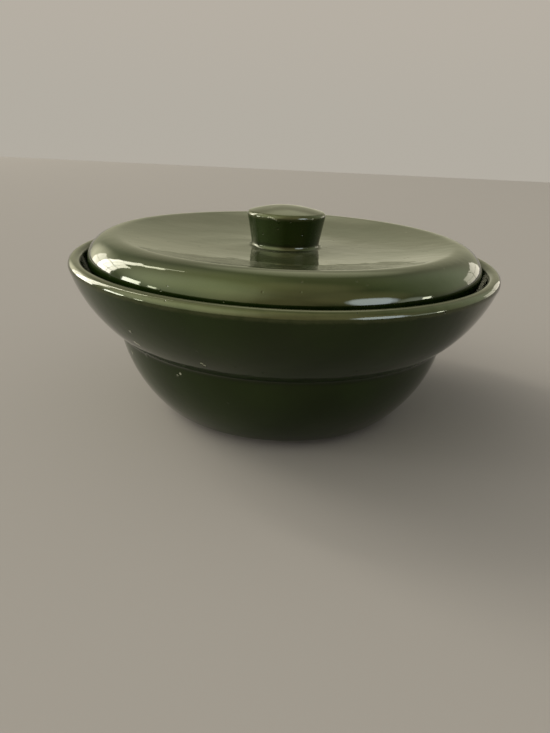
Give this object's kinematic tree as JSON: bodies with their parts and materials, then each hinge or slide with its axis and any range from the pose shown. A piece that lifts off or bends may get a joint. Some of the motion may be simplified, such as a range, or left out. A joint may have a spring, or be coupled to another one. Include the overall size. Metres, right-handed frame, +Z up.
{
  "type": "lidded casserole dish",
  "caption": "Round stoneware dish on a foot ring, with a stepped, flared collar and a lid with a knob that drops onto a ledge inside it.",
  "frame": {"origin": "centre of the foot ring, on the surface that the dish stands on", "axes": "+Z up, along the dish's axis and the way the lid lifts; +X and +Y are alike on this round object"},
  "size_m": [0.23, 0.23, 0.1116],
  "materials": {
    "dish_glaze": "deep olive green glaze, glossy, thin and browner at the edges; bare clay on the foot ring",
    "lid_glaze": "the same deep olive green glaze, glossy"
  },
  "bodies": {
    "dish": {"dish": "dish_glaze"},
    "lid": {"lid": "lid_glaze"}
  },
  "joints": [
    {"name": "lid_lift", "type": "slide", "parent": "dish", "child": "lid", "axis": [0, 0, 1], "range_m": [0, 0.1]}
  ]
}
